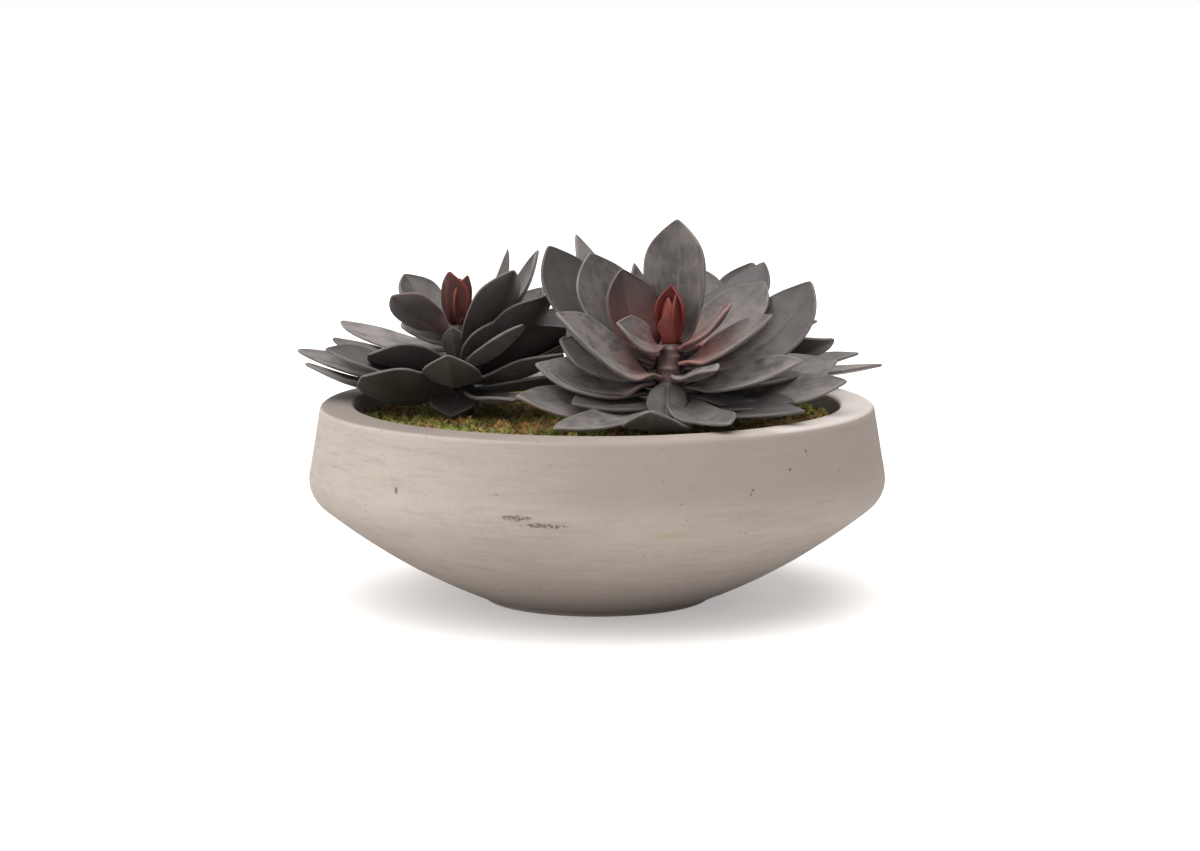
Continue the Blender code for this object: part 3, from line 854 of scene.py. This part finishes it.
def bowl_part(unevenness):
    """The turned shell, with the slight unevenness of a cast that was smoothed by hand."""
    section = bowl_section()
    slope = np.gradient(section, axis=0)
    normal = np.stack([slope[:, 1], -slope[:, 0]], 1)
    normal /= np.linalg.norm(normal, axis=1)[:, None]
    points = []
    for (radius, height), (out, up) in zip(section, normal):
        resting = smooth(height / TRUE_FOOT)
        edge = bell(height - BOWL_TOP + 0.002, 0.004)
        for turn in turns_round(BOWL_SEGMENTS):
            x, y = on_circle(radius, turn)
            broad = cloud(x, y, 14.0, height * 22.0)
            level = cloud(x, y, 9.0, height * 170.0 + 7.0)
            rough = noise.fractal(Vector((x * 90.0, y * 90.0, height * 90.0)), 0.7, 2.0, 4)
            shift = unevenness * (0.5 * broad + 0.22 * level + 0.16 * rough - 0.4 * edge * max(rough, 0.0))
            shift *= resting
            moved = 1.0 + shift * out / radius
            points.append((moved * x, moved * y, height + shift * up))
    return tube(points + [(0.0, 0.0, INNER_FLOOR[1]), (0.0, 0.0, 0.0)], BOWL_SEGMENTS, {})


# ---------------- leaves and petals


def outline(u, blunt):
    """Half-width of a leaf at these shares of its length, over its largest half-width."""
    swell = NECK_SHARE + (1.0 - NECK_SHARE) * np.sin(0.5 * np.pi * np.minimum(u / WIDEST_AT, 1.0)) ** 0.9
    beyond = np.clip((u - WIDEST_AT) / (1.0 - WIDEST_AT), 0.0, 1.0)
    taper = np.cos(0.5 * np.pi * beyond ** (TAPER_POWER + blunt))
    return np.where(u < WIDEST_AT, swell, TIP_SHARE + (1.0 - TIP_SHARE) * taper)


def midrib(rise, curl, length):
    """Distance from the stem, height and slope of a leaf's midrib at each of its rows."""
    u = np.arange(MIDRIB_STEPS + 1) / MIDRIB_STEPS
    free = rise + curl * (u - 0.5)
    start = np.minimum(free, CLASP_RISE)
    slope = start + (free - start) * smooth(u / CLASP_SHARE)
    out, up = (np.concatenate([[0.0], np.cumsum(part)]) for part in (np.cos(slope[:-1]), np.sin(slope[:-1])))
    step = length / MIDRIB_STEPS
    return (np.interp(ROWS, u, values) for values in (out * step, up * step, slope))


def blade(leaf, settings, seed):
    """A leaf or petal as a closed skin round its bent middle surface, before it is put on its stem."""
    own = random.Random(seed)
    rise, curl, roll = (math.radians(angle) for angle in (leaf.rise, leaf.curl, leaf.roll))
    length, width = leaf.length * MM, leaf.width * MM
    u = ROWS[:, None]
    closing = np.sqrt(np.clip(1.0 - np.clip((u - TIP_CLOSES_AT) / TIP_CLOSING, 0.0, 1.0) ** 2, 0.0, 1.0))
    half = 0.5 * width * outline(u, 0.006 * leaf.blunt) * closing
    rim = np.minimum(0.5 * settings.rim_thickness, 0.45 * half)
    power = CUP_POWER - 0.45 * 0.01 * leaf.fold
    lift = 0.0125 * leaf.cup * smooth(u / CLASP_SHARE)
    waves = (np.sin(FULL_TURN * (own.uniform(*pace) * u + own.random())) for pace in ((0.9, 1.6), (0.5, 1.1)))
    wave, lean = (settings.waviness * part * smooth(u / 0.3) for part in waves)

    def middle(s):
        """Height of the middle surface across the leaf, and its slope."""
        v = s / half
        height = lift * half * np.abs(v) ** power + wave * v**2 + lean * v * np.abs(v)
        tilt = lift * power * np.abs(v) ** (power - 1.0) * np.sign(v)
        return height, tilt + (2.0 * wave * v + 2.0 * lean * np.abs(v)) / half

    # The upper and the lower face, at half the leaf's thickness from its middle surface
    inner = half - rim
    s = inner * ACROSS
    height, tilt = middle(s)
    norm = np.sqrt(1.0 + tilt**2)
    fullness = (1.0 - (s / half) ** 2) * (1.0 - smooth((u - 0.7) / 0.3))
    thick = np.minimum(rim + (0.5 * settings.thickness - rim) * fullness, 0.8 * half)
    thick = thick + 0.28 * rim * bell(half - np.abs(s), BEAD_WIDTH)
    crease = smooth(u / 0.12) * (1.0 - smooth((u - 0.7) / 0.28)) * 0.01 * leaf.fold
    upper = thick - GROOVE_DEPTH * crease * bell(s, GROOVE_WIDTH)
    lower = thick + KEEL_HEIGHT * crease * bell(s, KEEL_WIDTH)
    top = np.array([s - tilt / norm * upper, height + upper / norm])
    bottom = np.array([s + tilt / norm * lower, height - lower / norm])

    def rim_arc(side):
        """The rounded rim from the upper to the lower face, on the left (-1) or right (1)."""
        edge, t = middle(side * inner)
        n = np.sqrt(1.0 + t**2)
        reach = side * rim * np.sin(RIM_TURNS)
        stand = thick[:, :1] * np.cos(RIM_TURNS)
        return np.array([side * inner + reach / n - stand * t / n, edge + reach * t / n + stand / n])

    # The section at each row, turned about the midrib by the leaf's roll
    wide, tall = np.concatenate([top, rim_arc(1), bottom[..., ::-1], rim_arc(-1)[..., ::-1]], 2)[..., None]
    rows, count = wide.shape[:2]
    out, up, slope = midrib(rise, curl, length)
    zero = np.zeros(rows)
    upright = np.stack([-np.sin(slope), zero, np.cos(slope)], 1)
    sideways = np.array([0.0, 1.0, 0.0])
    turned = roll * smooth(u / ROLL_SHARE)
    side = sideways * np.cos(turned) + upright * np.sin(turned)
    raised = upright * np.cos(turned) - sideways * np.sin(turned)
    points = np.stack([out, zero, up], 1)[:, None] + side[:, None] * wide + raised[:, None] * tall
    points = points.reshape(-1, 3)
    points = np.concatenate([points, [points[:count].mean(0)], [points[-count:].mean(0)]])

    # What the materials read: places along and across the leaf, its two faces, its red and its powder
    flat, edge_on, edge_face = np.ones(len(ACROSS)), np.ones(len(RIM_TURNS)), 0.5 + 0.5 * np.cos(RIM_TURNS)
    face = np.tile(np.concatenate([flat, edge_face, 0.0 * flat, edge_face[::-1]]), (rows, 1))
    share = np.tile(np.concatenate([ACROSS, edge_on, ACROSS[::-1], -edge_on]), (rows, 1))
    inset = np.concatenate([half - np.abs(s), rim * (1.0 - np.sin(RIM_TURNS))] * 2, 1)
    along = np.repeat(u, count, 1)
    offset = own.uniform(0.0, 5.0)
    place = np.stack([along * length, share * half, offset + 0.05 * face], -1)
    red = 0.01 * leaf.blush * (1.0 - smooth(along / (0.01 * leaf.reach)))
    red = np.maximum(red, 0.01 * leaf.rim_blush * bell(inset, RIM_BLUSH_WIDTH))

    def with_ends(values, first, last):
        return np.concatenate([values.reshape(-1), [first, last]])

    values = {
        "along": with_ends(along, 0.0, 1.0),
        "across": with_ends(share, 0.0, 0.0),
        "inset": with_ends(inset, 0.01, 0.0),
        "face": with_ends(face, 0.5, 0.5),
        "blush": with_ends(red, red[0, 0], 0.0),
        "powder": np.full(len(points), 0.01 * leaf.powder),
        "leaf_place": np.concatenate([place.reshape(-1, 3), [[0.0, 0.0, offset], [length, 0.0, offset]]]),
    }
    return tube(points, count, values)


def outward(azimuth, distance):
    return Vector((*on_circle(1.0, math.radians(azimuth)), 0.0)) * distance


def put(part, azimuth, where):
    """The part turned to its azimuth and moved to its place."""
    turn = np.array(Matrix.Rotation(math.radians(azimuth), 3, "Z"))
    return Part(part.points @ turn.T + np.array(where), part.faces, part.values)


def stem_share(stem, height):
    return (height - stem.foot.z) / (stem.top.z - stem.foot.z)


def stem_point(stem, height):
    return stem.foot + (stem.top - stem.foot) * stem_share(stem, height)


def stem_radius(stem, share):
    narrowing = max(share - SHOULDER_SHARE, 0.0) / (1.0 - SHOULDER_SHARE)
    return stem.radius * (1.0 + (TOP_RADIUS_SHARE - 1.0) * narrowing)


def leaf_neck(stem, leaf):
    """Where a leaf's neck meets the stem, with the frame's clearance."""
    height = leaf.height * MM
    start = min(math.radians(leaf.rise - 0.5 * leaf.curl), CLASP_RISE)
    clear = stem_radius(stem, stem_share(stem, height)) + GAP + NECK_CLEARANCE * math.sin(abs(start))
    return stem_point(stem, height) + outward(leaf.azimuth, clear)


def check_against_node(made, node):
    """Stops if a leaf has drifted away from the node that it stands for."""
    points = np.array([corner.co for corner in made.data.vertices])
    drift = np.abs(np.array([points.min(0), points.max(0)]) - np.array(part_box(node))).max()
    if drift > MOST_DRIFT:
        raise RuntimeError(f"{made.name} is {drift / MM:.1f} mm away from {node}")


def make_leaf(rosette, number, leaf, settings, look, has_node):
    name = f"{rosette}_{number:02d}"
    part = put(blade(leaf, settings, name), leaf.azimuth, leaf_neck(STEMS[rosette], leaf))
    nodes = ("leaf_" + name,) if has_node else ()
    made = make_piece("blade_" + name, part, look, nodes)
    for node in nodes:
        check_against_node(made, node)


def make_bud(name, settings, look):
    """The closed bud on a stem's top: petals round its axis, each hugging the next."""
    parts = []
    for number, petal in enumerate(Leaf(*row) for row in PETALS[name]):
        foot = STEMS[name].top + outward(petal.azimuth, PETAL_OFFSET)
        parts.append(put(blade(petal, settings, f"{name} petal {number}"), petal.azimuth, foot))
    make_piece("petals_" + name, join_parts(parts), look, ("bud_" + name,))


# ---------------- stems and moss


def stem_part(stem, seed):
    """A stem with the shallow ring scars that fallen leaves have left."""
    own = random.Random(seed)
    axis = (stem.top - stem.foot).normalized()
    side = axis.orthogonal().normalized()
    other = axis.cross(side)
    scars = [(own.uniform(0.30, 0.98), own.uniform(0.0, FULL_TURN)) for _ in range(SCARS)]
    points, marks = [], []
    for share in np.linspace(0.0, 1.0, STEM_ROWS):
        for turn in turns_round(STEM_SEGMENTS):
            mark = 0.0
            for at, around in scars:
                apart = (turn - around + math.pi) % FULL_TURN - math.pi
                mark = max(mark, float(bell(share - at, SCAR_HEIGHT) * bell(apart, SCAR_ARC)))
            rough = noise.fractal(Vector((*on_circle(3.0, turn), share * 22.0)), 0.8, 2.0, 3)
            radius = stem_radius(stem, share) * (1.0 + BARK_RELIEF * rough + SCAR_RELIEF * mark)
            out = side * math.cos(turn) + other * math.sin(turn)
            points.append(stem.foot.lerp(stem.top, share) + out * radius)
            marks.append(mark)
    return tube(points + [stem.foot, stem.top], STEM_SEGMENTS, {"scar": np.array(marks + [0.0, 0.0])})


def moss_height(x, y):
    """Top of the moss bed, which swells in cushions and dips at the wall."""
    swell = noise.fractal(Vector((x * 34.0, y * 34.0, 3.0)), 0.9, 2.0, 4)
    fine = cloud(x, y, 190.0, 9.0)
    edge = smooth((math.hypot(x, y) - MOSS_RADIUS + WALL_DIP_WIDTH) / WALL_DIP_WIDTH)
    return MOSS_TOP - BED_DEPTH + CUSHIONS * swell + TUFTS * fine - WALL_DIP * edge


def moss_bed_part():
    """The dense bottom of the moss, as one bumpy cushion on the soil."""
    widest, bottom = MOSS_RADIUS - GAP, SOIL_TOP + GAP
    turns = turns_round(BED_SEGMENTS)
    spots = [on_circle(widest * ring / BED_RINGS, turn) for ring in range(1, BED_RINGS + 1) for turn in turns]
    points = [(x, y, moss_height(x, y)) for x, y in spots]
    points += [(*on_circle(widest, turn), bottom) for turn in turns]
    points += [(0.0, 0.0, moss_height(0.0, 0.0)), (0.0, 0.0, bottom)]
    tint = np.array([0.5 + 0.5 * cloud(x, y, 25.0, 1.0) for x, y, _ in points])
    return tube(points, BED_SEGMENTS, {"tint": tint, "depth": np.full(len(points), 0.12)})


def sprig_shape(own):
    """One feathery sprig, a unit long and bent over: a tapered shoot with small leaflets on both sides."""
    bend, sway = own.uniform(0.3, 1.2), own.uniform(-0.5, 0.5)

    def on_shoot(share):
        angle = 1.35 - bend * share
        return np.array([share * math.cos(angle), sway * share * share * 0.5, share * math.sin(angle)])

    points, faces, depth = [], [], []
    for share, radius in ((0.0, 0.06), (0.5, 0.05)):
        points += [on_shoot(share) + np.array([*on_circle(radius, turn), 0.0]) for turn in turns_round(3)]
        depth += [share] * 3
    points.append(on_shoot(1.0))
    depth.append(1.0)
    for step in range(3):
        beside = (step + 1) % 3
        faces += [(step, beside, 3 + beside), (step, 3 + beside, 3 + step), (3 + step, 3 + beside, 6)]
    for number in range(LEAFLETS):
        share = 0.22 + 0.11 * number
        root = on_shoot(share)
        out = (1 if number % 2 else -1) * own.uniform(0.8, 1.2)
        size = 0.40 * (1.15 - share) + 0.06
        tip = root + size * np.array([0.55, out, own.uniform(0.1, 0.7)])
        middle = 0.5 * (root + tip)
        width = np.array([0.10, 0.0, 0.05]) * own.uniform(0.7, 1.1)
        start = len(points)
        points += [root, middle - width, tip, middle + width]
        depth += [share, 0.5 * share + 0.5, 1.0, 0.5 * share + 0.5]
        faces += [(start, start + 1, start + 2), (start, start + 2, start + 3)]
    return np.array(points), np.array(faces), np.array(depth)


def sprigs_part(places, settings, own):
    """Sprigs at these places, each with its own size, lean and tint."""
    parts = []
    for shape, faces, depth in (sprig_shape(own) for _ in range(SPRIG_SHAPES)):
        mine = [places.pop() for _ in range(min(len(places), 1 + len(places) // SPRIG_SHAPES))]
        if len(parts) == SPRIG_SHAPES - 1:
            mine += places
        turned = []
        for _ in mine:
            size = settings.sprig_length * own.uniform(0.55, 1.25)
            turn = Matrix.Rotation(own.uniform(0.0, FULL_TURN), 3, "Z")
            lean = Matrix.Rotation(own.uniform(-0.5, 0.8), 3, "Y")
            turned.append(np.array(turn @ lean) * size)
        feet = np.array([(x, y, moss_height(x, y) - SPRIG_ROOT) for x, y in mine])
        points = np.einsum("nij,pj->npi", np.array(turned), shape) + feet[:, None]
        tints = [0.5 + 0.62 * cloud(x, y, 38.0, 1.0) + own.gauss(0.0, 0.10) for x, y in mine]
        scales = np.array([own.uniform(0.75, 1.15) for _ in mine])
        starts = len(shape) * np.arange(len(mine))
        values = {"tint": np.repeat(tints, len(shape)), "depth": (scales[:, None] * depth).reshape(-1)}
        all_faces = (faces + starts[:, None, None]).reshape(-1, 3).tolist()
        parts.append(Part(points.reshape(-1, 3), [tuple(face) for face in all_faces], values))
    joined = join_parts(parts)
    reach = np.hypot(joined.points[:, 0], joined.points[:, 1])
    joined.points[:, :2] *= np.minimum(1.0, (MOSS_RADIUS - GAP) / reach)[:, None]
    return joined


def clear_of_stems(x, y):
    for stem in STEMS.values():
        foot = stem_point(stem, MOSS_TOP)
        if math.hypot(x - foot.x, y - foot.y) < stem.radius + WALL_CLEARANCE:
            return False
    return True


def scatter(count, own):
    """Places all over the moss bed, evenly mixed, none on a stem."""
    found = []
    while len(found) < count:
        radius = (MOSS_RADIUS - WALL_CLEARANCE) * math.sqrt(own.random())
        place = on_circle(radius, own.uniform(0.0, FULL_TURN))
        if clear_of_stems(*place):
            found.append(place)
    return found


# ---------------- operators


class ECHEVERIA_OT_bowl(bpy.types.Operator):
    """Make the concrete bowl"""

    bl_idname = "echeveria.bowl"
    bl_label = "Bowl"

    def execute(self, context):
        settings = context.scene.echeveria_bowl
        look = concrete_material(settings)
        make_piece("cast_bowl", bowl_part(settings.unevenness), look, ("bowl",))
        return {"FINISHED"}


class ECHEVERIA_OT_soil(bpy.types.Operator):
    """Give the packed soil its crumbly finish"""

    bl_idname = "echeveria.soil"
    bl_label = "Soil"

    def execute(self, context):
        look = soil_material()
        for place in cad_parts["potting_soil"].material_slots:
            place.material = look
        return {"FINISHED"}


class ECHEVERIA_OT_moss(bpy.types.Operator):
    """Make the moss bed and its sprigs"""

    bl_idname = "echeveria.moss"
    bl_label = "Moss"

    def execute(self, context):
        settings = context.scene.echeveria_moss
        look = moss_material(settings)
        make_piece("moss_bed", moss_bed_part(), look, ("moss_mat",))
        own = random.Random("moss")
        places = scatter(settings.sprigs, own)
        for quarter in ("front_left", "front_right", "back_left", "back_right"):
            behind, right = quarter.startswith("back"), quarter.endswith("right")
            mine = [(x, y) for x, y in places if (y >= 0.0) == behind and (x >= 0.0) == right]
            make_piece("moss_sprigs_" + quarter, sprigs_part(mine, settings, own), look)
        return {"FINISHED"}


class ECHEVERIA_OT_stems(bpy.types.Operator):
    """Make the three scarred stems"""

    bl_idname = "echeveria.stems"
    bl_label = "Stems"

    def execute(self, context):
        look = stem_material(context.scene.echeveria_stem)
        for name, stem in STEMS.items():
            make_piece("scarred_stem_" + name, stem_part(stem, name), look, ("stem_" + name,))
        return {"FINISHED"}


class ECHEVERIA_OT_leaves(bpy.types.Operator):
    """Make every leaf of the three rosettes"""

    bl_idname = "echeveria.leaves"
    bl_label = "Leaves"

    def execute(self, context):
        settings = context.scene.echeveria_leaf
        look = leaf_material(settings)
        for rosette, rows in LEAVES.items():
            for number, row in enumerate(rows + FILLERS[rosette]):
                make_leaf(rosette, number + 1, Leaf(*row), settings, look, number < len(rows))
        return {"FINISHED"}


class ECHEVERIA_OT_buds(bpy.types.Operator):
    """Make the two closed buds"""

    bl_idname = "echeveria.buds"
    bl_label = "Buds"

    def execute(self, context):
        look = bud_material(context.scene.echeveria_bud)
        for name in PETALS:
            make_bud(name, context.scene.echeveria_leaf, look)
        return {"FINISHED"}


class ECHEVERIA_OT_stage(bpy.types.Operator):
    """Make the floor, the studio light and the camera"""

    bl_idname = "echeveria.stage"
    bl_label = "Stage"

    def execute(self, context):
        scene = context.scene
        settings = scene.echeveria_stage
        mesh = bpy.data.meshes.new("floor")
        corners = [(x * FLOOR_REACH, y * FLOOR_REACH, 0.0) for x, y in ((-1, -1), (1, -1), (1, 1), (-1, 1))]
        mesh.from_pydata(corners, [], [(0, 1, 2, 3)])
        mesh.materials.append(floor_material(settings))
        floor = bpy.data.objects.new("floor", mesh)
        floor.location.z = -FLOOR_DROP
        scene.collection.objects.link(floor)

        world = bpy.data.worlds.new("studio")
        world.use_nodes = True
        scene.world = world
        graph = Graph(world.node_tree)
        background = world.node_tree.nodes["Background"].inputs
        seen = graph.wire("ShaderNodeLightPath", "Is Camera Ray")
        graph.feed(background["Color"], (1.0, 1.0, 1.0))
        graph.feed(background["Strength"], graph.spread(seen, 0.0, 1.0, settings.room, BACKDROP_STRENGTH))

        lights = (
            ("key", settings.key, settings.key_spread, KEY_TOWARDS),
            ("side", settings.side, SIDE_SPREAD, SIDE_TOWARDS),
        )
        for name, strength, spread, towards in lights:
            light = bpy.data.lights.new(name, "SUN")
            light.energy, light.angle, light.color = strength, spread, LIGHT_COLOUR
            placed = bpy.data.objects.new(name, light)
            placed.rotation_euler = towards.to_track_quat("-Z", "Y").to_euler()
            scene.collection.objects.link(placed)

        lens = bpy.data.cameras.new("camera")
        lens.lens, lens.sensor_width = settings.lens, SENSOR_WIDTH
        camera = bpy.data.objects.new("camera", lens)
        camera.location = CAMERA_PLACE
        camera.rotation_euler = (CAMERA_AIM - CAMERA_PLACE).to_track_quat("-Z", "Y").to_euler()
        scene.collection.objects.link(camera)
        scene.camera = camera
        scene.view_settings.view_transform = "Standard"
        return {"FINISHED"}


OPERATORS = (
    ECHEVERIA_OT_stage,
    ECHEVERIA_OT_bowl,
    ECHEVERIA_OT_soil,
    ECHEVERIA_OT_moss,
    ECHEVERIA_OT_stems,
    ECHEVERIA_OT_leaves,
    ECHEVERIA_OT_buds,
)


class ECHEVERIA_PT_panel(bpy.types.Panel):
    """Lists the operators and their settings"""

    bl_idname = "ECHEVERIA_PT_panel"
    bl_label = "Potted echeveria"
    bl_space_type = "VIEW_3D"
    bl_region_type = "UI"
    bl_category = "Echeveria"

    def draw(self, context):
        for operator in OPERATORS:
            self.layout.operator(operator.bl_idname)
        for name, group in SETTINGS.items():
            box = self.layout.box()
            box.label(text=group.__doc__)
            for key in group.__annotations__:
                box.prop(getattr(context.scene, name), key)


def register():
    for name, group in SETTINGS.items():
        bpy.utils.register_class(group)
        setattr(bpy.types.Scene, name, PointerProperty(type=group))
    for made in (*OPERATORS, ECHEVERIA_PT_panel):
        bpy.utils.register_class(made)


def unregister():
    for made in (ECHEVERIA_PT_panel, *reversed(OPERATORS)):
        bpy.utils.unregister_class(made)
    for name, group in reversed(SETTINGS.items()):
        delattr(bpy.types.Scene, name)
        bpy.utils.unregister_class(group)


def main():
    register()
    bpy.ops.echeveria.stage()
    bpy.ops.echeveria.bowl()
    bpy.ops.echeveria.soil()
    bpy.ops.echeveria.moss()
    bpy.ops.echeveria.stems()
    bpy.ops.echeveria.leaves()
    bpy.ops.echeveria.buds()


if __name__ == "__main__":
    main()
